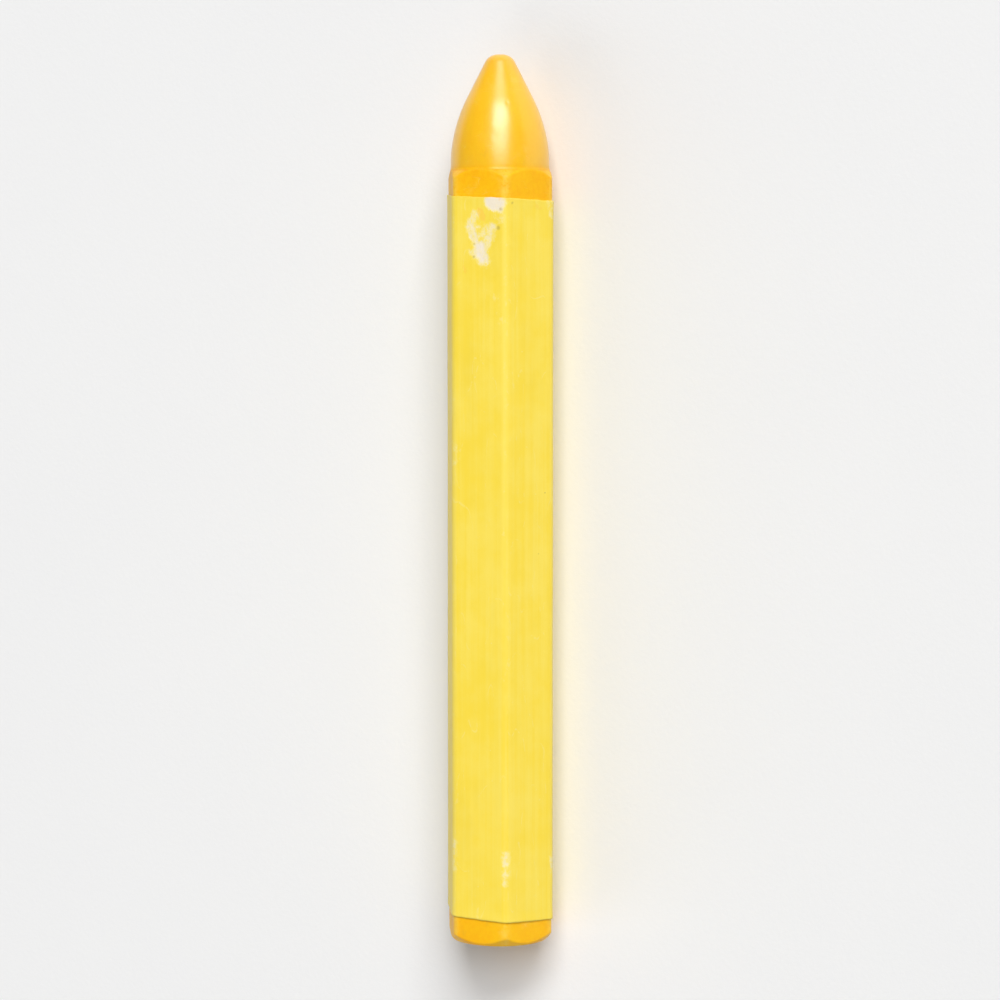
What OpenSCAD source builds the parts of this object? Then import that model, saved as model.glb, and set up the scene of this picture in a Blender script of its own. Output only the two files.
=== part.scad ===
// Tire marking crayon: a moulded wax stick of hexagonal section with a bullet nose, in a
// wrapped and glued paper sleeve. It lies on one flat of the hexagon, nose towards +X.
// The origin is the middle of the footprint, on the surface that it lies on.

/* [Wax stick] */
// Length of the crayon, from its butt to its tip
crayon_len = 112; // [90:1:125]
// Size of the bare wax across two opposite flats
wax_flats = 12.5; // [11:0.1:16]
// Radius that rounds the six long edges
edge_r = 1.0; // [0.5:0.1:2]
// Width of the small slope that breaks the butt's rim, measured at the flats
butt_chamfer = 0.25; // [0.1:0.05:1]

/* [Nose] */
// Length of the nose, from the shoulder to the tip
nose_len = 13.9; // [9:0.1:18]
// Diameter of the nose where it stands on the shoulder
nose_d = 11.75; // [9:0.05:12]
// Height over the shoulder at which the nose's straight wall and its cone would meet
bend_h = 4.8; // [2:0.1:7]
// Radius of the belly that joins the wall to the cone
belly_r = 16; // [4:0.5:20]
// Diameter that the cone would have at the tip, if the tip weren't rounded
tip_d = 2.7; // [1.4:0.1:4]
// Radius that rounds the tip
tip_r = 1.7; // [0.2:0.1:2]
// Angle between the shoulder's slope and the stick's axis
shoulder_slope = 35; // [30:1:60]

/* [Paper sleeve] */
// Thickness of the paper
paper_t = 0.11; // [0.06:0.01:0.25]
// Glue between the wax and the paper, and between the two layers of the lap
glue_t = 0.02; // [0.01:0.005:0.05]
// Bare wax between the shoulder and the paper, at the edge between top and front flats
bare_band = 4.15; // [2.5:0.05:8]
// Bare wax between the paper and the butt, at the same edge
bare_butt = 3.2; // [2:0.1:8]
// Angle by which the paper went on askew, so that its two edges climb round the stick
wrap_skew = 2.5; // [-4:0.1:4]
// Width of the lap, where the paper's end is glued over its start
lap_w = 4; // [2:0.1:5]
// Width of the slope by which the outer layer climbs onto the inner one
lap_rise = 0.4; // [0.2:0.05:0.6]

/* [Smoothness] */
// Flat steps that the paper makes round each long edge
fold_steps = 6; // [3:1:12]

/* [Hidden] */
$fn = 96;

wax_color = [1.0, 0.71, 0.12];
paper_color = [0.98, 0.88, 0.34];

// Half of the wax across its flats, and the length of stick that keeps its full section
apothem = wax_flats / 2;
shoulder_z = crayon_len - nose_len;
// Flat width of each side between its rounded edges, and where the edges' centres lie
edge_in = apothem - edge_r;
flat_w = 2 * edge_in * tan(30);
edge_center = edge_in / cos(30);
// Radius that clears the six edges, for what is turned round the stick's axis
turned_r = edge_center + 2 * edge_r;

// Corners of the nose's half outline: foot, bend, tip's rim and tip
foot = [nose_d / 2, 0];
bend = [nose_d / 2, bend_h];
rim = [tip_d / 2, nose_len];
tip = [0, nose_len];

// Paper laid round one side and one edge of the stick
edge_arc = edge_r * PI / 3;
side_pitch = flat_w + edge_arc;
// The flats are numbered round the stick: 0 is the one it lies on, 3 the top one, 4 the
// front one, and 1, low at the back, carries the lap
lap_side = 1;
lap_start = lap_side * side_pitch + (flat_w - lap_w) / 2;
lap_over = lap_start + 6 * side_pitch;
wrap_end = lap_over + lap_w;
// Edge between the top and the front flats, where the paper's two ends are measured
front_edge = 4 * side_pitch - edge_arc / 2;
// Height of the stick's axis over the surface it lies on
rest_z = apothem + glue_t + paper_t;

// Hexagon with rounded corners, its flats square to 0, 60, 120 ... degrees
module rounded_hexagon() {
    for (side = [0:2]) rotate(60 * side) square([wax_flats, flat_w], center = true);
    for (side = [0:5]) rotate(60 * side + 30) translate([edge_center, 0]) circle(edge_r);
}

function unit(v) = v / norm(v);

// Half of the angle that an outline makes at its corner k, between its sides to a and b
function half_angle(a, k, b) = acos(unit(a - k) * unit(b - k)) / 2;

// How far from a corner its arc starts: an arc too wide for its shorter side is narrowed
function reach(a, k, b, r) = min(r / tan(half_angle(a, k, b)), norm(a - k), norm(b - k));

// Fills the gap between a corner that was cut off and the arc that rounds it
module rounding(a, k, b, r) {
    from = k + unit(a - k) * reach(a, k, b, r);
    to = k + unit(b - k) * reach(a, k, b, r);
    arc_r = reach(a, k, b, r) * tan(half_angle(a, k, b));
    middle = k + unit(from + to - 2 * k) * arc_r / sin(half_angle(a, k, b));
    intersection() {
        translate(middle) circle(arc_r);
        polygon([from, k, to]);
    }
}

// Half outline of the nose: straight wall, round belly, cone and rounded tip
module nose_outline() {
    wall_end = bend - unit(bend - foot) * reach(foot, bend, rim, belly_r);
    cone_start = bend + unit(rim - bend) * reach(foot, bend, rim, belly_r);
    cone_end = rim - unit(rim - bend) * reach(bend, rim, tip, tip_r);
    flat_end = rim - unit(rim - tip) * reach(bend, rim, tip, tip_r);
    polygon([[0, 0], foot, wall_end, cone_start, cone_end, flat_end, tip]);
    rounding(foot, bend, rim, belly_r);
    rounding(bend, rim, tip, tip_r);
}

// Half outline of everything turned round the axis: butt, bar, sloping shoulder and nose
module turned_outline() {
    butt_r = apothem - butt_chamfer;
    shoulder_drop = (turned_r - nose_d / 2) / tan(shoulder_slope);
    polygon([
        [0, 0],
        [butt_r, 0],
        [turned_r, turned_r - butt_r],
        [turned_r, shoulder_z - shoulder_drop],
        [nose_d / 2, shoulder_z],
        [0, shoulder_z],
    ]);
    translate([0, shoulder_z]) nose_outline();
}

// Point on the wrap after s millimetres of paper, lying out millimetres off the wax
function wrap_point(s, out) =
    let (
        side = floor(s / side_pitch),
        along = s - side * side_pitch,
        fold = max(0, along - flat_w) / edge_arc * 60,
        x = edge_in + (edge_r + out) * cos(fold),
        y = min(along, flat_w) - flat_w / 2 + (edge_r + out) * sin(fold),
        a = 60 * side
    ) [x * cos(a) - y * sin(a), x * sin(a) + y * cos(a)];

// How far the paper's inner face lies off the wax: over the lap it rides on its own start
function layer_out(s) =
    let (risen = min(1, max(0, (s - lap_over + lap_rise) / lap_rise)))
    glue_t + risen * (paper_t + glue_t);

// How much lower the paper's edges are after s millimetres than at the front edge
function skew_drop(s) = (s - front_edge) * tan(wrap_skew);

// The four corners of the strip's cut section after s millimetres of paper
function strip_section(s) =
    let (
        inner = wrap_point(s, layer_out(s)),
        outer = wrap_point(s, layer_out(s) + paper_t),
        low = bare_butt - skew_drop(s),
        high = shoulder_z - bare_band - skew_drop(s)
    ) [
        [inner[0], inner[1], low],
        [outer[0], outer[1], low],
        [outer[0], outer[1], high],
        [inner[0], inner[1], high],
    ];

// Distances along the strip at which it has to bend
function bends(from, to) = [
    for (side = [floor(from / side_pitch):floor(to / side_pitch)])
        for (step = [-1:fold_steps - 1])
            let (s = side * side_pitch + (step < 0 ? 0 : flat_w + edge_arc * step / fold_steps))
                if (s > from && s < to) s
];

module wax_stick() {
    color(wax_color)
        as_it_lies()
            intersection() {
                linear_extrude(crayon_len) rounded_hexagon();
                rotate_extrude() turned_outline();
            }
}

// The strip of paper, swept from its start under the lap, once round and over its start
module paper_sleeve() {
    stations = concat(
        [lap_start], bends(lap_start, lap_over - lap_rise),
        [lap_over - lap_rise, lap_over], bends(lap_over, wrap_end), [wrap_end]
    );
    last = len(stations) - 1;
    points = [for (s = stations) each strip_section(s)];
    walls = [
        for (i = [0:last - 1], side = [0:3])
            let (a = 4 * i + side, b = 4 * i + (side + 1) % 4) [a, b, b + 4, a + 4]
    ];
    ends = [[3, 2, 1, 0], [4 * last, 4 * last + 1, 4 * last + 2, 4 * last + 3]];
    color(paper_color) as_it_lies() polyhedron(points, concat(walls, ends));
}

// Lays the upright stick down on its flat 0, nose towards +X
module as_it_lies() {
    translate([-crayon_len / 2, 0, rest_z]) rotate([0, 90, 0]) children();
}

wax_stick();
paper_sleeve();
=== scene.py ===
"""Dresses the tire marking crayon: a moulded wax stick in a wrapped and glued paper sleeve.

The crayon lies on one flat of its hexagon with its nose towards +X. All lengths are metres,
unless a name ends in _mm. "Front edge" is the long edge between the top flat and the flat that
faces -Y, "along" is measured towards the butt from ALONG_FROM_TIP behind the tip, and "round"
is measured on the paper from the front edge, positive towards -Y and down.
"""

import math
import random

import bpy
import numpy as np
from mathutils import Matrix, Vector, noise


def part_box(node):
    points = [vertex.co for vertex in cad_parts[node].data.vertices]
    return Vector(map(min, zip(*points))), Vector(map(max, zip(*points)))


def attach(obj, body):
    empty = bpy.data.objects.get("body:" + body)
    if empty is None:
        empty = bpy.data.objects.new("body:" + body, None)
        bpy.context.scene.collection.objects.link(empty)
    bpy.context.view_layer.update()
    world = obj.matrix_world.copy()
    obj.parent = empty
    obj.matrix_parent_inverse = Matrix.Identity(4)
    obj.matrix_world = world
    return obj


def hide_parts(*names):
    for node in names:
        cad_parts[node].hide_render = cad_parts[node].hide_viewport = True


MM = 0.001

# ---------------------------------------------------------------- sizes
# Wax stick
FLATS = 12.5 * MM
EDGE_R = 1.0 * MM
NOSE_LEN = 14.4 * MM
NOSE_D = 12.45 * MM
BEND_H = 4.9 * MM
BELLY_R = 19 * MM
TIP_D = 2.8 * MM
TIP_R = 1.7 * MM
SHOULDER_SLOPE = math.radians(40)
# Radius of the hollow in which the shoulder eases into the nose's wall
FOOT_R = 0.7 * MM
BUTT_BREAK = 0.25 * MM
# How softly the flats blend into what is turned
MILL_SOFT = 0.26 * MM
# The moulded faces' slow waver: its height, its lumps in a metre round the stick, the share of
# those that it has along it, the value of its noise that leaves a face where it is, and how
# far from the axis it is at its full height
WAVER = 0.035 * MM
WAVER_LUMPS = 420.0
WAVER_ALONG = 0.45
WAVER_STILL = 0.55
WAVER_FADE = 1.5 * MM
# Paper sleeve
PAPER = 0.11 * MM
GLUE = 0.02 * MM
PAPER_FROM_TIP = 18.05 * MM
BARE_BUTT = 3.2 * MM
WRAP_SKEW = math.radians(2.5)
LAP_W = 4.0 * MM
LAP_RISE = 0.4 * MM
LAP_SIDE = 1
# The paper's own unevenness: glue waves under it, its edges lifted and cut ragged
GLUE_WAVE = 0.030 * MM
GLUE_WAVE_LONG = 12 * MM
GLUE_WAVE_WIDE = 4.2 * MM
EDGE_LIFT = 0.070 * MM
EDGE_LIFT_REACH = 1.4 * MM
LAP_LIFT_REACH = 0.9 * MM
EDGE_RAGGED = 0.045 * MM
EDGE_RAGGED_REACH = 0.8 * MM
# Width of the lighter print on each side of a fold, partly worn print and partly painted
# highlight
FOLD_RUB_AND_HIGHLIGHT = 0.45 * MM

APOTHEM = FLATS / 2
EDGE_IN = APOTHEM - EDGE_R
FLAT_W = 2 * EDGE_IN * math.tan(math.radians(30))
EDGE_ARC = EDGE_R * math.pi / 3
SIDE_PITCH = FLAT_W + EDGE_ARC
EDGE_CENTER = EDGE_IN / math.cos(math.radians(30))
TURNED_R = EDGE_CENTER + 2 * EDGE_R
AXIS_Z = APOTHEM + GLUE + PAPER
FRONT_EDGE = 4 * SIDE_PITCH - EDGE_ARC / 2

# Columns of the wax's mesh round the stick, and rows on each stretch of its turned outline
WAX_COLUMNS = 288
WAX_ROWS = {
    "butt": 10,
    "butt's slope": 30,
    "bar at the butt": 16,
    "papered bar": 12,
    "bar at the shoulder": 14,
    "shoulder": 36,
    "hollow": 8,
    "wall": 8,
    "belly": 40,
    "cone": 32,
    "dome": 20,
    "tip": 3,
}
# The bar has closer rows this near to its ends
BAR_ENDS = 6.5 * MM
# Points of the mesh closer than this become one, at the axis and where the columns meet
MERGE_WITHIN = 0.001 * MM
# Steps of the sheet across each flat, round each fold, and along it in millimetres: at its
# ends, how much longer further in, and how much longer still where it isn't worn
FLAT_STEPS = 24
FOLD_STEPS = 8
END_STEP_MM = 0.12
INNER_STEP_MM = 0.20
UNWORN_STEP_MM = 0.55
# The last steps share what is left of the length
LAST_STEPS = 6
LAST_STRETCH = 1.2 * MM

# Dents in the wax: millimetres from the tip, degrees round from the resting flat (the top
# flat is at 180, the front one at 240), radius and depth in millimetres
DENTS_MM = (
    (6.2, 216, 0.22, 0.030),
    (10.4, 199, 0.50, 0.022),
    (11.6, 243, 0.90, 0.018),
    (14.6, 187, 0.35, 0.040),
    (16.8, 214, 0.45, 0.035),
    (17.3, 170, 0.60, 0.025),
    (3.1, 240, 0.35, 0.030),
)
NICKS = 26
# Radius at which degrees round the stick are taken as millimetres, to find a dent's place
DENT_R_MM = 5
# The most that a dent takes of the radius where it lies
DENT_LIMIT = 0.5

# Painted highlight on the crest, where the shoulder's slope meets the bar: how strong it is, its
# width, and how far in front of the nose's foot it still shows
CREST_HIGHLIGHT = 0.1
CREST_WIDE = 0.16 * MM
CREST_FROM = 0.2 * MM
# How deep below the bar's own section a place counts fully as the shoulder's slope
SLOPE_FADE = 0.2 * MM
# Rub and painted highlight on the six long edges: its width in degrees on the bar, how much wider
# the painted highlight is on the slope, and how far it fades in from the nose's foot and the butt
EDGE_RUB_AND_HIGHLIGHT_DEGREES = 4.5
SLOPE_HIGHLIGHT_DEGREES = 4
EDGE_RUB_AND_HIGHLIGHT_FADE = 0.3 * MM
BUTT_FADE = 0.1 * MM
# How far the tip's paler colour, a painted glow of light, reaches back
TIP_GLOW_REACH = 3.2 * MM
# The nose's polish: its share at the foot, and how far it takes to come in or go
POLISH_AT_FOOT = 0.2
POLISH_FADE = 0.8 * MM

# The paper's material slots: its print, and the bare core of its cut edges and inner face
PRINT_SLOT, CUT_SLOT = 0, 1

ALONG_FROM_TIP = 13.9 * MM
# Where the print is rubbed: round and along at both ends of a stroke, half its width, and how
# far down it is rubbed, in millimetres and as a share
SCUFFS_MM = (
    ((-2.00, 4.60), (-0.70, 4.70), 0.34, 1.15),
    ((-1.65, 5.15), (-0.95, 5.20), 0.26, 1.10),
    ((-1.10, 5.60), (-0.70, 6.60), 0.30, 0.42),
    ((-4.10, 6.20), (-4.75, 7.30), 0.32, 0.60),
    ((-4.75, 7.30), (-4.30, 8.70), 0.38, 0.56),
    ((-4.30, 8.70), (-3.60, 10.2), 0.40, 0.64),
    ((-1.90, 7.80), (-2.05, 8.90), 0.32, 0.60),
    ((-2.05, 8.90), (-2.80, 10.4), 0.38, 0.62),
    ((-3.40, 8.10), (-3.10, 9.80), 0.60, 0.48),
    ((-3.35, 10.3), (-3.15, 11.6), 0.55, 0.94),
    ((-4.20, 10.9), (-2.60, 12.1), 0.36, 0.56),
    ((-1.20, 16.4), (-0.70, 19.4), 0.25, 0.26),
    ((6.75, 4.60), (6.95, 6.30), 0.20, 0.42),
    ((0.05, 23.0), (0.10, 31.0), 0.05, 0.20),
    ((-7.0, 34.0), (-7.1, 37.5), 0.10, 0.30),
    ((0.00, 86.0), (0.10, 90.0), 0.15, 0.48),
    ((7.20, 87.0), (7.10, 89.0), 0.20, 0.46),
    ((-7.1, 85.0), (-7.2, 88.5), 0.20, 0.44),
    ((13.9, 20.0), (14.1, 26.0), 0.12, 0.34),
    ((-14.2, 58.0), (-14.1, 66.0), 0.12, 0.34),
)
# Where wax is smeared on the paper, in the same way
SMEARS_MM = (
    ((-3.45, 5.70), (-2.95, 6.60), 0.28, 1.00),
    ((-0.60, 4.25), (0.40, 4.30), 0.20, 0.60),
    ((4.60, 5.10), (5.40, 5.30), 0.16, 0.55),
    ((-5.60, 12.4), (-5.30, 13.6), 0.14, 0.50),
)
# How far past its stroke's half width a rubbed place or a smear fades out
SCUFF_SOFT_MM = 0.95
SMEAR_SOFT_MM = 0.45
# Specks of dirt: round, along and radius
SPECKS_MM = (
    (-0.86, 7.85, 0.34),
    (-4.20, 9.80, 0.24),
    (-4.25, 11.40, 0.26),
    (-0.62, 5.50, 0.30),
    (0.80, 4.77, 0.28),
)


# ---------------------------------------------------------------- node helpers
def add(tree, kind, inputs=(), **settings):
    """A node with its settings, its constant inputs and its links made in one go."""
    node = tree.nodes.new(kind)
    for name, value in settings.items():
        setattr(node, name, value)
    for key, value in dict(inputs).items():
        if isinstance(value, bpy.types.NodeSocket):
            tree.links.new(value, node.inputs[key])
        else:
            node.inputs[key].default_value = value
    return node


def sums(tree, operation, *values, clamp=False):
    """One Math node: its output socket."""
    node = add(tree, "ShaderNodeMath", enumerate(values), operation=operation)
    node.use_clamp = clamp
    return node.outputs[0]


# ---------------------------------------------------------------- wax stick
def line(a, b, steps):
    """Points from a towards b, without b."""
    return [tuple(a[k] + (b[k] - a[k]) * i / steps for k in range(2)) for i in range(steps)]


def rounding(a, k, b, radius, steps):
    """Points of the arc that rounds an outline's corner k, between its sides to a and b."""
    corner = Vector(k)
    to_a, to_b = (Vector(a) - corner).normalized(), (Vector(b) - corner).normalized()
    half = math.acos(max(-1, min(1, to_a.dot(to_b)))) / 2
    reach = radius / math.tan(half)
    center = corner + (to_a + to_b).normalized() * (radius / math.sin(half))
    first, last = corner + to_a * reach - center, corner + to_b * reach - center
    start = math.atan2(first.y, first.x)
    sweep = (math.atan2(last.y, last.x) - start + math.pi) % (2 * math.pi) - math.pi
    turns = [start + sweep * i / steps for i in range(steps + 1)]
    return [(center.x + radius * math.cos(t), center.y + radius * math.sin(t)) for t in turns]


def turned_outline(butt_x, tip_x):
    """Half outline (x, radius) of what is turned round the stick's axis, butt to tip."""
    rows = WAX_ROWS
    foot_x = tip_x - NOSE_LEN
    climb = (TURNED_R - NOSE_D / 2) / math.tan(SHOULDER_SLOPE)
    slope_start = (foot_x - climb, TURNED_R)
    foot = (foot_x, NOSE_D / 2)
    bend = (foot_x + BEND_H, NOSE_D / 2)
    rim = (tip_x, TIP_D / 2)
    tip = (tip_x, 0)
    hollow = rounding(slope_start, foot, bend, FOOT_R, rows["hollow"])
    belly = rounding(foot, bend, rim, BELLY_R, rows["belly"])
    dome = rounding(bend, rim, tip, TIP_R, rows["dome"])
    butt_r = APOTHEM - BUTT_BREAK
    butt_slope_end = (butt_x + TURNED_R - butt_r, TURNED_R)
    papered_from = (butt_x + BAR_ENDS, TURNED_R)
    papered_to = (foot_x - BAR_ENDS, TURNED_R)
    return (
        line((butt_x, 0), (butt_x, butt_r), rows["butt"])
        + line((butt_x, butt_r), butt_slope_end, rows["butt's slope"])
        + line(butt_slope_end, papered_from, rows["bar at the butt"])
        + line(papered_from, papered_to, rows["papered bar"])
        + line(papered_to, slope_start, rows["bar at the shoulder"])
        + line(slope_start, hollow[0], rows["shoulder"])
        + hollow[:-1]
        + line(hollow[-1], belly[0], rows["wall"])
        + belly[:-1]
        + line(belly[-1], dome[0], rows["cone"])
        + dome[:-1]
        + line(dome[-1], tip, rows["tip"])
        + [tip]
    )


def grid_of_outline(tree, given):
    """A grid with a row for each point of the outline: it, and each point's place on it."""
    rows = add(tree, "GeometryNodeAttributeDomainSize", {"Geometry": given["Outline"]})
    columns = sums(tree, "ADD", given["Around"], 1.0)
    grid = add(
        tree,
        "GeometryNodeMeshGrid",
        {"Vertices X": rows.outputs["Point Count"], "Vertices Y": columns},
    )
    index = add(tree, "GeometryNodeInputIndex").outputs[0]
    row = sums(tree, "FLOOR", sums(tree, "DIVIDE", index, columns))
    column = sums(tree, "SUBTRACT", index, sums(tree, "MULTIPLY", row, columns))
    outline = add(
        tree,
        "GeometryNodeSampleIndex",
        {
            "Geometry": given["Outline"],
            "Value": add(tree, "GeometryNodeInputPosition").outputs[0],
            "Index": row,
        },
        data_type="FLOAT_VECTOR",
    )
    along, _, turned_r = add(
        tree, "ShaderNodeSeparateXYZ", {0: outline.outputs[0]}
    ).outputs
    return grid, column, along, turned_r


def turn_of(tree, given, column):
    """Angle of a column, and its angle from its side's middle, -30 to 30 degrees.

    Columns crowd towards the rounded edges.
    """
    cell = sums(tree, "DIVIDE", sums(tree, "MULTIPLY", column, 6.0), given["Around"])
    side = sums(tree, "FLOOR", cell)
    part = sums(tree, "MULTIPLY_ADD", sums(tree, "SUBTRACT", cell, side), 2.0, -1.0)
    crowd = sums(tree, "SINE", sums(tree, "MULTIPLY", part, math.pi / 2))
    local = sums(tree, "MULTIPLY", sums(tree, "ADD", part, crowd), math.radians(15))
    return sums(tree, "MULTIPLY_ADD", side, math.radians(60), local), local


def milled_radius(tree, given, local):
    """Radius of the rounded hexagon: on a flat, or on the small arc of an edge."""
    flat_r = sums(tree, "DIVIDE", given["Apothem"], sums(tree, "COSINE", local))
    edge_in = sums(tree, "SUBTRACT", given["Apothem"], given["Edge radius"])
    edge_center = sums(tree, "DIVIDE", edge_in, math.cos(math.radians(30)))
    off_edge = sums(tree, "SUBTRACT", math.radians(30), sums(tree, "ABSOLUTE", local))
    sideways = sums(tree, "MULTIPLY", edge_center, sums(tree, "SINE", off_edge))
    square = sums(
        tree,
        "SUBTRACT",
        sums(tree, "POWER", given["Edge radius"], 2.0),
        sums(tree, "POWER", sideways, 2.0),
    )
    edge_r = sums(
        tree,
        "MULTIPLY_ADD",
        edge_center,
        sums(tree, "COSINE", off_edge),
        sums(tree, "SQRT", sums(tree, "MAXIMUM", square, 0.0)),
    )
    half_flat = sums(tree, "MULTIPLY", edge_in, math.tan(math.radians(30)))
    flat_ends = sums(tree, "ARCTAN2", half_flat, given["Apothem"])
    on_edge = sums(tree, "GREATER_THAN", sums(tree, "ABSOLUTE", local), flat_ends)
    return add(tree, "ShaderNodeMix", {"Factor": on_edge, "A": flat_r, "B": edge_r}).outputs[0]


def wavered(tree, given, along, radius, angle):
    """The radius with its waver: a moulded face is a few hundredths of a millimetre untrue."""
    flat_place = add(
        tree,
        "ShaderNodeCombineXYZ",
        {
            "X": sums(tree, "MULTIPLY", along, WAVER_ALONG),
            "Y": sums(tree, "MULTIPLY", radius, sums(tree, "COSINE", angle)),
            "Z": sums(tree, "MULTIPLY", radius, sums(tree, "SINE", angle)),
        },
    ).outputs[0]
    lumps = add(
        tree,
        "ShaderNodeTexNoise",
        {"Vector": flat_place, "Scale": WAVER_LUMPS, "Detail": 3.0, "Roughness": 0.55},
    )
    swing = sums(tree, "SUBTRACT", lumps.outputs[0], WAVER_STILL)
    waver = sums(tree, "MULTIPLY", swing, given["Waver"])
    off_axis = sums(tree, "MULTIPLY", radius, 1 / WAVER_FADE, clamp=True)
    return sums(tree, "MULTIPLY_ADD", waver, off_axis, radius)


def wax_tree(material):
    """Geometry Nodes: turns the outline round the axis and mills six soft-edged flats on it."""
    tree = bpy.data.node_groups.new("turn and mill the stick", "GeometryNodeTree")
    sockets = {}
    for name, kind in (
        ("Outline", "NodeSocketGeometry"),
        ("Around", "NodeSocketInt"),
        ("Apothem", "NodeSocketFloat"),
        ("Edge radius", "NodeSocketFloat"),
        ("Softness", "NodeSocketFloat"),
        ("Axis height", "NodeSocketFloat"),
        ("Waver", "NodeSocketFloat"),
    ):
        sockets[name] = tree.interface.new_socket(name, in_out="INPUT", socket_type=kind)
    tree.interface.new_socket("Stick", in_out="OUTPUT", socket_type="NodeSocketGeometry")
    given = add(tree, "NodeGroupInput").outputs

    grid, column, along, turned_r = grid_of_outline(tree, given)
    angle, local = turn_of(tree, given, column)
    milled_r = milled_radius(tree, given, local)
    blended = sums(tree, "SMOOTH_MIN", turned_r, milled_r, given["Softness"])
    radius = wavered(tree, given, along, blended, angle)
    # Angle 0 is the flat that the stick lies on, and angles grow towards +Y
    up = sums(tree, "MULTIPLY", radius, sums(tree, "COSINE", angle))
    place = add(
        tree,
        "ShaderNodeCombineXYZ",
        {
            "X": along,
            "Y": sums(tree, "MULTIPLY", radius, sums(tree, "SINE", angle)),
            "Z": sums(tree, "SUBTRACT", given["Axis height"], up),
        },
    ).outputs[0]
    stick = add(tree, "GeometryNodeSetPosition", {"Geometry": grid.outputs[0], "Position": place})
    for kind, inputs in (
        ("GeometryNodeMergeByDistance", {"Distance": MERGE_WITHIN}),
        ("GeometryNodeFlipFaces", {}),
        ("GeometryNodeSetShadeSmooth", {}),
        ("GeometryNodeRealizeInstances", {}),
        ("GeometryNodeSetMaterial", {"Material": material}),
    ):
        stick = add(tree, kind, {0: stick.outputs[0], **inputs})
    add(tree, "NodeGroupOutput", {0: stick.outputs[0]})
    return tree, sockets


def new_object(name, mesh):
    piece = bpy.data.objects.new(name, mesh)
    bpy.context.scene.collection.objects.link(piece)
    return piece


def float_attribute(mesh, name, values):
    attribute = mesh.attributes.new(name, "FLOAT", "POINT")
    attribute.data.foreach_set("value", np.asarray(values, dtype=np.float32))


def nicks_mm(luck):
    """Small chance dents along the six edges of the bare band, the butt's rim and the nose."""
    found = []
    for _ in range(NICKS):
        edge = 30 + 60 * luck.randrange(6) + luck.uniform(-4, 4)
        from_tip = luck.choice((luck.uniform(15.2, 18.0), luck.uniform(109.2, 111.7)))
        found.append((from_tip, edge, luck.uniform(0.2, 0.5), luck.uniform(0.02, 0.06)))
        nose_place = luck.uniform(1.5, 13.0)
        found.append((nose_place, luck.uniform(0, 360), luck.uniform(0.15, 0.5), 0.012))
    return found


def wear_the_wax(mesh, tip_x):
    """Presses the dents in, and marks rub and painted highlight, the tip's painted glow, polish
    and the slope's painted shade.
    """
    spots = np.empty(len(mesh.vertices) * 3, dtype=np.float32)
    mesh.vertices.foreach_get("co", spots)
    spots = spots.reshape(-1, 3)
    axis = np.array([0.0, 0.0, AXIS_Z], dtype=np.float32)
    out = spots - axis
    out[:, 0] = 0
    radius = np.maximum(np.linalg.norm(out, axis=1), 1e-6)
    turn = np.degrees(np.arctan2(out[:, 1], -out[:, 2])) % 360
    from_tip = tip_x - spots[:, 0]

    off_flat = np.abs((turn + 30) % 60 - 30)
    in_foot = from_tip - NOSE_LEN
    milled = np.minimum(APOTHEM / np.cos(np.radians(off_flat)), EDGE_CENTER + EDGE_R)
    slope_r = NOSE_D / 2 + in_foot * math.tan(SHOULDER_SLOPE)
    # The crest and the slope's edges carry a painted highlight; the bar's edges are rubbed and
    # carry a painted highlight too
    crest_highlight = CREST_HIGHLIGHT * np.exp(-(((slope_r - milled) / CREST_WIDE) ** 2))
    crest_highlight *= in_foot > -CREST_FROM
    on_slope = np.clip((milled - slope_r) / SLOPE_FADE, 0, 1) * (in_foot > 0)
    off_butt = np.clip((spots[:, 0] - spots[:, 0].min()) / BUTT_FADE, 0, 1)
    rub_and_highlight_degrees = EDGE_RUB_AND_HIGHLIGHT_DEGREES + SLOPE_HIGHLIGHT_DEGREES * on_slope
    on_edge = np.exp(-(((30 - off_flat) / rub_and_highlight_degrees) ** 2)) * off_butt
    on_edge *= np.clip(in_foot / EDGE_RUB_AND_HIGHLIGHT_FADE, 0, 1)
    float_attribute(mesh, "crest", np.maximum(crest_highlight, on_edge))
    # Where the tip is painted paler, as a painted glow of light
    float_attribute(mesh, "tip", np.clip(1 - from_tip / TIP_GLOW_REACH, 0, 1))
    # Where the shoulder's slope is painted darker, as painted shade
    float_attribute(mesh, "slope", on_slope)
    float_attribute(mesh, "nose", np.clip(POLISH_AT_FOOT - in_foot / POLISH_FADE, 0, 1))

    push = np.zeros(len(spots))
    for place, turned, wide, deep in DENTS_MM + tuple(nicks_mm(random.Random(11))):
        sideways = np.radians((turn - turned + 180) % 360 - 180) * DENT_R_MM
        apart = np.hypot(from_tip / MM - place, sideways)
        middle = spots[int(np.argmin(apart))]
        distance = np.linalg.norm(spots - middle, axis=1) / (wide * MM)
        push = np.maximum(push, deep * MM * np.exp(-(distance**2)))
    spots -= out / radius[:, None] * np.minimum(push, radius * DENT_LIMIT)[:, None]
    mesh.vertices.foreach_set("co", spots.ravel())
    mesh.update()


def wax_stick(material):
    low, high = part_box("wax_stick")
    outline = bpy.data.meshes.new("stick_outline")
    points = [(x, 0, r) for x, r in turned_outline(low[0], high[0])]
    outline.from_pydata(points, [(i, i + 1) for i in range(len(points) - 1)], [])
    maker = new_object("stick_maker", outline)
    tree, sockets = wax_tree(material)
    modifier = maker.modifiers.new("turn and mill", "NODES")
    modifier.node_group = tree
    for name, value in (
        ("Around", WAX_COLUMNS),
        ("Apothem", APOTHEM),
        ("Edge radius", EDGE_R),
        ("Softness", MILL_SOFT),
        ("Axis height", AXIS_Z),
        ("Waver", WAVER),
    ):
        modifier[sockets[name].identifier] = value
    bpy.context.view_layer.update()
    evaluated = maker.evaluated_get(bpy.context.evaluated_depsgraph_get())
    mesh = bpy.data.meshes.new_from_object(evaluated)
    bpy.data.objects.remove(maker)
    wear_the_wax(mesh, high[0])
    return new_object("crayon_wax", mesh)


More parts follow.
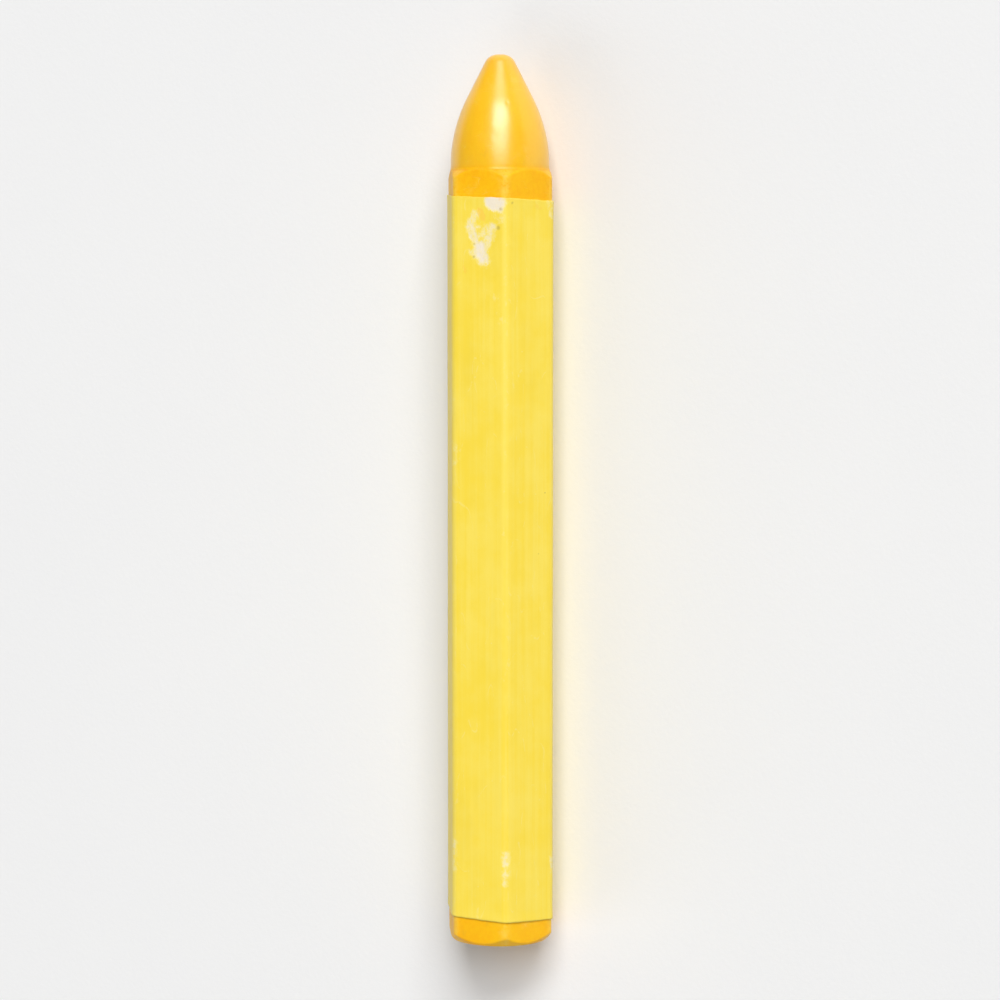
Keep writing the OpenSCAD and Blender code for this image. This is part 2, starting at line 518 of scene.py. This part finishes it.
# ---------------------------------------------------------------- paper sleeve
def wrap_point(wound, out):
    """(y, z) of a point after so much paper from flat 0, lying out off the wax."""
    side = math.floor(wound / SIDE_PITCH)
    part = wound - side * SIDE_PITCH
    fold = max(0.0, part - FLAT_W) / EDGE_ARC * math.radians(60)
    reach = EDGE_R + out
    x = EDGE_IN + reach * math.cos(fold)
    y = min(part, FLAT_W) - FLAT_W / 2 + reach * math.sin(fold)
    turn = math.radians(60 * side)
    return (
        x * math.sin(turn) + y * math.cos(turn),
        AXIS_Z - (x * math.cos(turn) - y * math.sin(turn)),
    )


def smooth(value, low, high):
    share = min(1.0, max(0.0, (value - low) / (high - low)))
    return share * share * (3 - 2 * share)


def wrap_stations(start, over, end):
    """Distances round the strip: even on the flats, closer at the folds, exact at the lap."""
    exact = [start, over - LAP_RISE, over, end]
    marks = []
    for side in range(math.floor(start / SIDE_PITCH), math.floor(end / SIDE_PITCH) + 1):
        base = side * SIDE_PITCH
        marks += [base + FLAT_W * i / FLAT_STEPS for i in range(FLAT_STEPS)]
        marks += [base + FLAT_W + EDGE_ARC * i / FOLD_STEPS for i in range(FOLD_STEPS)]
    apart = 0.05 * MM
    kept = [m for m in marks if start < m < end and min(abs(m - e) for e in exact) > apart]
    return sorted(exact + kept)


def length_stations(length):
    """Distances from the paper's nose end: fine at both ends and where the print is worn."""
    marks, here = [0.0], 0.0
    while here < length - LAST_STRETCH:
        inner = smooth(min(here, length - here), 0, 3 * MM)
        unworn = smooth(here, 16 * MM, 30 * MM) * smooth(length - here, 2 * MM, 10 * MM)
        here += (END_STEP_MM + INNER_STEP_MM * inner + UNWORN_STEP_MM * unworn) * MM
        marks.append(here)
    last = marks[-1]
    rest = range(1, LAST_STEPS + 1)
    return marks + [last + (length - last) * i / LAST_STEPS for i in rest]


def worn(strokes, round_mm, along_mm, soft):
    """How strongly the nearest strokes mark a place on the paper, 0 to 1."""
    most = 0.0
    for (r1, a1), (r2, a2), half, depth in strokes:
        dr, da = r2 - r1, a2 - a1
        share = ((round_mm - r1) * dr + (along_mm - a1) * da) / (dr * dr + da * da)
        share = min(1.0, max(0.0, share))
        gap = math.hypot(round_mm - r1 - share * dr, along_mm - a1 - share * da)
        most = max(most, depth * (1 - smooth(gap, half * 0.5, half + soft)))
    return most


def unevenness(wound, x, down, from_top, from_end):
    """How far the paper stands off its true place: outward only, and never where it rests."""
    held = 1 - smooth(down, 0.55, 0.85)
    place = Vector((x / GLUE_WAVE_LONG, wound / GLUE_WAVE_WIDE, 3.1))
    waves = max(0, 0.5 + noise.fractal(place, 1.0, 2.0, 3))
    by_edge = 0.35 + 0.65 * noise.noise(Vector((wound / (3.5 * MM), 8.7, 0.4)))
    by_edge *= smooth(EDGE_LIFT_REACH - from_top, 0, EDGE_LIFT_REACH)
    by_lap = 0.4 + 0.6 * noise.noise(Vector((x / (7 * MM), 1.9, 5.2)))
    by_lap *= smooth(LAP_LIFT_REACH - from_end, 0, LAP_LIFT_REACH)
    return held * (GLUE_WAVE * waves + EDGE_LIFT * max(0, by_edge, by_lap))


def sheet_points(wraps, steps, over, paper_top, along_zero):
    """Points of the sheet's outer face and then its inner one, and what marks each point."""
    points = []
    marks = {"round_mm": [], "along_mm": [], "scuff": [], "smear": [], "fold": []}
    for layer in (1, 0):
        for wound in wraps:
            risen = min(1.0, max(0.0, (wound - over + LAP_RISE) / LAP_RISE))
            out = GLUE + risen * (PAPER + GLUE) + layer * PAPER
            drop = (wound - FRONT_EDGE) * math.tan(WRAP_SKEW)
            round_mm = (wound - FRONT_EDGE) / MM
            down = (wrap_point(wound, out)[1] - wrap_point(wound, out + MM)[1]) / MM
            part = wound % SIDE_PITCH
            to_fold = min(abs(part - FLAT_W - EDGE_ARC / 2), part + EDGE_ARC / 2)
            fold = math.exp(-((to_fold / FOLD_RUB_AND_HIGHLIGHT) ** 2))
            for step_at in steps:
                near_end = min(step_at, steps[-1] - step_at)
                place = Vector((wound / (1.1 * MM), step_at / (4 * MM), 0.7))
                ragged = noise.fractal(place, 1.0, 2.0, 4)
                cut = EDGE_RAGGED * ragged * (1 - smooth(near_end, 0, EDGE_RAGGED_REACH))
                x = paper_top - drop - step_at + cut
                lift = unevenness(wound, x, down, near_end, wraps[-1] - wound)
                points.append((x, *wrap_point(wound, out + lift)))
                along_mm = (along_zero - x) / MM
                marks["round_mm"].append(round_mm)
                marks["along_mm"].append(along_mm)
                marks["scuff"].append(worn(SCUFFS_MM, round_mm, along_mm, SCUFF_SOFT_MM))
                marks["smear"].append(worn(SMEARS_MM, round_mm, along_mm, SMEAR_SOFT_MM))
                marks["fold"].append(fold)
    return points, marks


def sheet_faces(columns, rows):
    """Faces of both sides and the four cut edges, each with its material's slot."""
    width = rows + 1
    sheet = (columns + 1) * width
    faces, slots = [], []

    def cut_edge(a, b, flip):
        face = (a, b, sheet + b, sheet + a)
        faces.append(face[::-1] if flip else face)
        slots.append(CUT_SLOT)

    for c in range(columns):
        for r in range(rows):
            a, b = c * width + r, (c + 1) * width + r
            faces.append((a, a + 1, b + 1, b))
            faces.append((sheet + a, sheet + b, sheet + b + 1, sheet + a + 1))
            slots.extend((PRINT_SLOT, CUT_SLOT))
        for r, flip in ((0, False), (rows, True)):
            cut_edge(c * width + r, (c + 1) * width + r, flip)
    for r in range(rows):
        for c, flip in ((0, True), (columns, False)):
            cut_edge(c * width + r, c * width + r + 1, flip)
    return faces, slots


def paper_sleeve(print_side, cut_side):
    """The strip as it was wrapped: two faces and four cut edges, with its end lapped over."""
    low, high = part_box("wax_stick")
    paper_top = high[0] - PAPER_FROM_TIP
    start = LAP_SIDE * SIDE_PITCH + (FLAT_W - LAP_W) / 2
    over = start + 6 * SIDE_PITCH
    wraps = wrap_stations(start, over, over + LAP_W)
    steps = length_stations(paper_top - low[0] - BARE_BUTT)
    points, marks = sheet_points(wraps, steps, over, paper_top, high[0] - ALONG_FROM_TIP)
    faces, slots = sheet_faces(len(wraps) - 1, len(steps) - 1)
    mesh = bpy.data.meshes.new("crayon_paper")
    mesh.from_pydata(points, [], faces)
    mesh.materials.append(print_side)
    mesh.materials.append(cut_side)
    mesh.polygons.foreach_set("material_index", slots)
    mesh.shade_smooth()
    for name, values in marks.items():
        float_attribute(mesh, name, values)
    mesh.validate()
    return new_object("crayon_paper", mesh)


# ---------------------------------------------------------------- finishes
def finish_of(name):
    material = bpy.data.materials.new(name)
    material.use_nodes = True
    tree = material.node_tree
    shader = tree.nodes["Principled BSDF"]
    return material, tree, shader


def marked(tree, name):
    return add(tree, "ShaderNodeAttribute", attribute_name=name).outputs["Fac"]


# Keeps flat surfaces off the noise's own grid
OFF_LATTICE = (0.37, 0.71, 0.53)
# How much finer each layer of the noise is than the one before: not a whole number, so that
# the layers' grids don't line up
LACUNARITY = 2.17


def grain(tree, place, size_mm, detail=3.0, rough=0.55):
    """Noise from 0 to 1 with features of that size, one number or three along the axes."""
    sizes = size_mm if isinstance(size_mm, tuple) else (size_mm,) * 3
    scaled = add(
        tree,
        "ShaderNodeVectorMath",
        {0: place, 1: tuple(1 / (s * MM) for s in sizes), 2: OFF_LATTICE},
        operation="MULTIPLY_ADD",
    )
    texture = add(
        tree,
        "ShaderNodeTexNoise",
        {
            "Vector": scaled.outputs[0],
            "Scale": 1.0,
            "Detail": detail,
            "Roughness": rough,
            "Lacunarity": LACUNARITY,
        },
    )
    return texture.outputs[0]


def step(tree, value, low, high):
    """0 below low, 1 above high and smooth between them; low may be the larger of the two."""
    node = add(
        tree,
        "ShaderNodeMapRange",
        {0: value, 1: low, 2: high},
        interpolation_type="SMOOTHSTEP",
    )
    return node.outputs[0]


def level(tree, value, low, high):
    """A value from 0 to 1 set out evenly between low and high."""
    return sums(tree, "MULTIPLY_ADD", value, high - low, low)


# The Mix node's colour sockets by place, because their names repeat among its types
MIX_UNDER, MIX_OVER, MIX_RESULT = 6, 7, 2


def tint(tree, share, under, over):
    """The colour under, covered with the colour over by a share from 0 to 1."""
    inputs = {0: share}
    for place, color in ((MIX_UNDER, under), (MIX_OVER, over)):
        inputs[place] = color if isinstance(color, bpy.types.NodeSocket) else (*color, 1)
    return add(tree, "ShaderNodeMix", inputs, data_type="RGBA").outputs[MIX_RESULT]


def layered(tree, color, *layers):
    """The colour under (share, colour) layers, laid on one after another."""
    for share, over in layers:
        color = tint(tree, share, color, over)
    return color


def both(tree, *shares):
    """The product of shares: where all of them hold."""
    result = shares[0]
    for share in shares[1:]:
        result = sums(tree, "MULTIPLY", result, share)
    return result


def hairlines(tree, place, size_mm, thin):
    """Thin wandering lines, where a slow noise crosses its middle."""
    slow = grain(tree, place, size_mm, 1.0, 0.4)
    off_middle = sums(tree, "ABSOLUTE", sums(tree, "SUBTRACT", slow, 0.5))
    return step(tree, off_middle, thin, thin * 0.25)


def pepper(tree, place, size_mm, radius, kept):
    """Sparse round specks: one in every cell of a size, of which a share is kept."""
    cells = add(
        tree,
        "ShaderNodeTexVoronoi",
        {"Vector": place, "Scale": 1 / (size_mm * MM)},
    )
    spot = step(tree, cells.outputs["Distance"], radius, radius * 0.45)
    lot = add(tree, "ShaderNodeSeparateXYZ", {0: cells.outputs["Color"]}).outputs[0]
    return both(tree, spot, sums(tree, "LESS_THAN", lot, kept))


def press(tree, shader, *layers):
    """Bump from (height, depth in mm) layers, one on top of another."""
    normal = None
    for height, depth_mm in layers:
        inputs = {"Height": height, "Distance": depth_mm * MM, "Strength": 1.0}
        if normal:
            inputs["Normal"] = normal
        normal = add(tree, "ShaderNodeBump", inputs).outputs[0]
    tree.links.new(normal, shader.inputs["Normal"])


WAX_DEEP = (0.970, 0.462, 0.0020)
WAX_LIGHT = (1.000, 0.545, 0.0040)
WAX_NOSE = (0.990, 0.560, 0.0040)
# Painted glow of light on the tip
WAX_TIP_GLOW = (0.960, 0.515, 0.0400)
# Painted shade on the shoulder's slope
WAX_SLOPE_SHADE = (0.930, 0.430, 0.0020)
# Rubbed wax with a painted highlight in it
WAX_RUB_AND_HIGHLIGHT = (1.000, 0.640, 0.0700)
WAX_BLOOM = (1.000, 0.700, 0.1800)
WAX_GRIME = (0.360, 0.230, 0.0700)


def marking_wax():
    material, tree, shader = finish_of("marking wax")
    place = add(tree, "ShaderNodeTexCoord").outputs["Object"]
    crest, tip = marked(tree, "crest"), marked(tree, "tip")
    slope, polish = marked(tree, "slope"), marked(tree, "nose")
    cloud = grain(tree, place, 6.0, 5.0, 0.6)
    flecks = grain(tree, place, 0.5, 3.0, 0.6)
    drift = grain(tree, place, 2.4, 4.0, 0.6)
    turned = grain(tree, place, (0.10, 7.0, 7.0), 2.0, 0.6)
    pores = pepper(tree, place, 1.1, 0.075, 0.40)
    dirt = pepper(tree, place, 2.6, 0.055, 0.22)
    marks = both(
        tree,
        hairlines(tree, place, (1.6, 4.5, 4.5), 0.012),
        step(tree, drift, 0.50, 0.62),
    )
    smudge = step(tree, grain(tree, place, (2.6, 1.6, 1.6), 4.0, 0.6), 0.60, 0.74)

    mixed = sums(tree, "MULTIPLY_ADD", flecks, 0.35, sums(tree, "MULTIPLY", cloud, 0.75))
    color = layered(
        tree,
        tint(tree, step(tree, mixed, 0.38, 0.72), WAX_DEEP, WAX_LIGHT),
        (both(tree, polish, 0.55), WAX_NOSE),
        # Painted glow: the tip is paler, as if lit from above and shining through
        (both(tree, step(tree, tip, 0.0, 1.0), 0.75), WAX_TIP_GLOW),
        # Painted shade: the shoulder's slope, which faces the lamps, is darkened
        (both(tree, slope, 0.85), WAX_SLOPE_SHADE),
        # Rub on the edges with a painted highlight, and painted highlight on the crest and the
        # slope's edges
        (both(tree, crest, step(tree, flecks, 0.26, 0.56), 0.62), WAX_RUB_AND_HIGHLIGHT),
        (both(tree, step(tree, drift, 0.56, 0.78), 0.16), WAX_BLOOM),
        (both(tree, marks, 0.14), WAX_BLOOM),
        (both(tree, smudge, 0.10), WAX_GRIME),
        (both(tree, dirt, 0.60), WAX_GRIME),
    )
    tree.links.new(color, shader.inputs["Base Color"])

    uneven = level(tree, flecks, 0.36, 0.50)
    dull = sums(tree, "MULTIPLY_ADD", step(tree, drift, 0.5, 0.75), 0.10, uneven)
    tree.links.new(dull, shader.inputs["Roughness"])
    # The nose left a polished mould; the bar is duller
    tree.links.new(level(tree, polish, 0.24, 0.06), shader.inputs["Specular IOR Level"])
    tree.links.new(polish, shader.inputs["Coat Weight"])
    tree.links.new(level(tree, drift, 0.25, 0.38), shader.inputs["Coat Roughness"])
    shader.inputs["Coat IOR"].default_value = 1.72
    shader.inputs["Subsurface Weight"].default_value = 0.12
    shader.inputs["Subsurface Radius"].default_value = (1.0, 0.5, 0.1)
    shader.inputs["Subsurface Scale"].default_value = 0.5 * MM
    press(
        tree,
        shader,
        (drift, 0.030),
        (flecks, 0.008),
        (turned, 0.004),
        (sums(tree, "SUBTRACT", 1.0, sums(tree, "MAXIMUM", pores, marks)), 0.012),
    )
    return material


PRINT_BASE = (0.955, 0.715, 0.055)
PRINT_PALE = (0.970, 0.765, 0.110)
PRINT_THIN = (0.965, 0.830, 0.300)
PAPER_BARE = (0.915, 0.815, 0.640)
PAPER_EDGE = (0.950, 0.860, 0.420)
PAPER_GRIME = (0.450, 0.340, 0.070)
PAPER_WAX = (0.990, 0.580, 0.080)


def yellow_print():
    material, tree, shader = finish_of("yellow printed paper")
    place = add(tree, "ShaderNodeTexCoord").outputs["Object"]
    round_mm, along_mm = marked(tree, "round_mm"), marked(tree, "along_mm")
    scuff, smear, fold = marked(tree, "scuff"), marked(tree, "smear"), marked(tree, "fold")
    flat = add(tree, "ShaderNodeCombineXYZ", {0: round_mm, 1: along_mm}).outputs[0]
    unrolled = add(tree, "ShaderNodeVectorMath", {0: flat, "Scale": MM}, operation="SCALE")
    unrolled = unrolled.outputs[0]

    cloud = grain(tree, unrolled, 5.0, 5.0, 0.6)
    streaks = grain(tree, unrolled, (0.55, 40.0, 1.0), 3.0, 0.6)
    fibres = grain(tree, unrolled, (0.10, 0.45, 1.0), 3.0, 0.6)
    crumbs = grain(tree, unrolled, (0.42, 0.62, 1.0), 5.0, 0.66)
    shreds = grain(tree, unrolled, (0.80, 1.30, 1.0), 4.0, 0.62)
    pinholes = pepper(tree, unrolled, 2.1, 0.055, 0.30)
    dirt = pepper(tree, unrolled, 4.4, 0.030, 0.35)
    handled = step(tree, grain(tree, unrolled, (4.0, 14.0, 1.0), 4.0, 0.6), 0.52, 0.76)
    scratches = both(
        tree,
        hairlines(tree, unrolled, (3.0, 9.0, 1.0), 0.010),
        step(tree, shreds, 0.50, 0.60),
    )

    mixed = sums(tree, "MULTIPLY_ADD", crumbs, 0.6, both(tree, shreds, 0.4))
    off = sums(tree, "SUBTRACT", mixed, 0.5)
    wear = sums(tree, "MULTIPLY_ADD", off, 2.0, scuff)
    # The folds' lighter print is partly wear and partly painted highlight
    at_fold = both(tree, fold, step(tree, streaks, 0.38, 0.62))
    fold_wear_and_highlight = sums(tree, "MULTIPLY_ADD", off, 1.6, both(tree, at_fold, 0.24))
    scuffed = both(tree, wear, step(tree, scuff, 0.02, 0.20))
    thin = step(tree, sums(tree, "MAXIMUM", scuffed, fold_wear_and_highlight), 0.22, 0.60)
    bare = both(tree, step(tree, wear, 0.34, 1.04), step(tree, scuff, 0.20, 0.50))

    toned = sums(tree, "MULTIPLY_ADD", streaks, 0.45, sums(tree, "MULTIPLY", cloud, 0.55))
    smeared = sums(tree, "MULTIPLY_ADD", off, 2.6, smear)
    waxed = both(tree, step(tree, smeared, 0.35, 0.85), step(tree, smear, 0.05, 0.3))
    color = layered(
        tree,
        tint(tree, step(tree, toned, 0.34, 0.68), PRINT_BASE, PRINT_PALE),
        # Painted highlight and wear: lighter print along the folds
        (both(tree, at_fold, 0.40), PRINT_PALE),
        (both(tree, thin, 0.72), PRINT_THIN),
        (both(tree, pinholes, 0.55), PRINT_THIN),
        (both(tree, scratches, 0.35), PRINT_THIN),
        (bare, PAPER_BARE),
        (both(tree, waxed, 0.50), PAPER_WAX),
        (both(tree, handled, 0.05), PAPER_GRIME),
        (both(tree, dirt, 0.55), PAPER_GRIME),
    )
    for round_at, along_at, wide in SPECKS_MM:
        away = add(
            tree,
            "ShaderNodeVectorMath",
            {0: flat, 1: (round_at, along_at, 0)},
            operation="DISTANCE",
        ).outputs["Value"]
        ragged = sums(tree, "MULTIPLY_ADD", off, -0.8, away)
        color = tint(tree, both(tree, step(tree, ragged, wide, 0.0), 0.55), color, PAPER_GRIME)
    tree.links.new(color, shader.inputs["Base Color"])

    gloss = level(tree, crumbs, 0.38, 0.56)
    dull = sums(tree, "MULTIPLY_ADD", bare, 0.35, sums(tree, "MULTIPLY_ADD", thin, 0.12, gloss))
    tree.links.new(dull, shader.inputs["Roughness"])
    shader.inputs["Specular IOR Level"].default_value = 0.35
    press(
        tree,
        shader,
        (cloud, 0.050),
        (fibres, 0.006),
        (crumbs, 0.006),
        (sums(tree, "MULTIPLY", bare, sums(tree, "SUBTRACT", fibres, 1.6)), 0.030),
    )
    return material


def paper_core():
    material, tree, shader = finish_of("bare paper core")
    place = add(tree, "ShaderNodeTexCoord").outputs["Object"]
    fibres = grain(tree, place, (0.30, 0.08, 0.08), 4.0, 0.65)
    patches = grain(tree, place, 1.6, 3.0, 0.6)
    color = layered(
        tree,
        tint(tree, step(tree, fibres, 0.35, 0.70), PAPER_EDGE, PAPER_BARE),
        (both(tree, step(tree, patches, 0.45, 0.7), 0.45), PRINT_PALE),
    )
    tree.links.new(color, shader.inputs["Base Color"])
    shader.inputs["Roughness"].default_value = 0.8
    shader.inputs["Specular IOR Level"].default_value = 0.25
    press(tree, shader, (fibres, 0.012))
    return material


# ---------------------------------------------------------------- stage, light and camera
# Half of the floor's side, and its height: just under what the crayon rests on
FLOOR_HALF = 3.0
FLOOR_Z = -0.02 * MM
FLOOR_CORNERS = ((-1, -1), (1, -1), (1, 1), (-1, 1))


def floor():
    mesh = bpy.data.meshes.new("floor")
    corners = [(x * FLOOR_HALF, y * FLOOR_HALF, FLOOR_Z) for x, y in FLOOR_CORNERS]
    mesh.from_pydata(corners, [], [(0, 1, 2, 3)])
    material, tree, shader = finish_of("pale floor")
    place = add(tree, "ShaderNodeTexCoord").outputs["Object"]
    patches = grain(tree, place, 60.0, 3.0, 0.5)
    nap = grain(tree, place, 0.5, 2.0, 0.5)
    color = tint(tree, patches, (0.840, 0.842, 0.845), (0.872, 0.870, 0.866))
    tree.links.new(color, shader.inputs["Base Color"])
    shader.inputs["Roughness"].default_value = 0.9
    shader.inputs["Specular IOR Level"].default_value = 0.1
    press(tree, shader, (nap, 0.02))
    mesh.materials.append(material)
    new_object("floor", mesh)


# The camera stands nearly over the front edge and a little towards the nose, and looks back at
# the stick's middle, with the nose up in the picture
CAMERA_TILT = math.radians(65.7)
CAMERA_AWAY = 0.400
CAMERA_ALONG = 29.5 * MM
CAMERA_LENS = 114
CAMERA_SENSOR = 36
CAMERA_CLIP = (0.01, 20)
TOWARDS_CAMERA = Vector((0, -math.cos(CAMERA_TILT), math.sin(CAMERA_TILT)))
PICTURE_UP = Vector((1, 0, 0))
PICTURE_RIGHT = (-TOWARDS_CAMERA).cross(PICTURE_UP)
MIDDLE = Vector((0, 0, AXIS_Z))

# Softboxes: degrees up and right of the camera, width and height in metres, watts
SOFTBOX_AWAY = 8.0
SOFTBOXES = {
    "key": (42.5, 1, (4.6, 2.7), 460),
    "key's middle": (22, 1, (4.4, 2.3), 185),
    "key's foot": (7, 1, (4.4, 2.0), 50),
    "left": (-25, -80, (5.0, 5.0), 110),
    "butt": (-50, -40, (5.0, 3.0), 85),
}
ROOM_LIGHT = 0.12
BACKDROP = 0.80


def look(place, at, up):
    """A rotation that looks from place at a point, with up kept upright in the picture."""
    back = (place - at).normalized()
    right = up.cross(back).normalized()
    return Matrix((right, back.cross(right), back)).transposed().to_quaternion()


def placed(data, place):
    thing = bpy.data.objects.new(data.name, data)
    thing.rotation_mode = "QUATERNION"
    thing.location = place
    thing.rotation_quaternion = look(place, MIDDLE, PICTURE_UP)
    bpy.context.scene.collection.objects.link(thing)
    return thing


def camera():
    data = bpy.data.cameras.new("camera")
    data.lens = CAMERA_LENS
    data.sensor_width = CAMERA_SENSOR
    data.clip_start, data.clip_end = CAMERA_CLIP
    place = MIDDLE + PICTURE_UP * CAMERA_ALONG + TOWARDS_CAMERA * CAMERA_AWAY
    bpy.context.scene.camera = placed(data, place)


def lights():
    for name, (up, right, size, watts) in SOFTBOXES.items():
        data = bpy.data.lights.new(name, "AREA")
        data.shape = "RECTANGLE"
        data.size, data.size_y = size
        data.energy = watts
        up, right = math.radians(up), math.radians(right)
        level_way = TOWARDS_CAMERA * math.cos(right) + PICTURE_RIGHT * math.sin(right)
        way = level_way * math.cos(up) + PICTURE_UP * math.sin(up)
        placed(data, MIDDLE + way * SOFTBOX_AWAY)
    world = bpy.data.worlds.new("room")
    bpy.context.scene.world = world
    world.use_nodes = True
    tree = world.node_tree
    back = tree.nodes["Background"]
    back.inputs["Color"].default_value = (1, 1, 1, 1)
    seen = add(tree, "ShaderNodeLightPath").outputs["Is Camera Ray"]
    tree.links.new(level(tree, seen, ROOM_LIGHT, BACKDROP), back.inputs["Strength"])


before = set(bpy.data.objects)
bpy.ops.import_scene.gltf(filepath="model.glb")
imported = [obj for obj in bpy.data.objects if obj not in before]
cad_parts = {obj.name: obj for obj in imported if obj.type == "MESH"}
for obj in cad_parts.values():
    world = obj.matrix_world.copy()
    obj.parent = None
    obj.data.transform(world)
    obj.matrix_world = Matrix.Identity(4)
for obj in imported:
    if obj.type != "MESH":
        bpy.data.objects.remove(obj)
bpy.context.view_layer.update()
bpy.context.scene.view_settings.view_transform = "Standard"

wax = wax_stick(marking_wax())
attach(wax, "root")
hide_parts("wax_stick")

paper = paper_sleeve(yellow_print(), paper_core())
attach(paper, "root")
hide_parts("paper_sleeve")

floor()
lights()
camera()
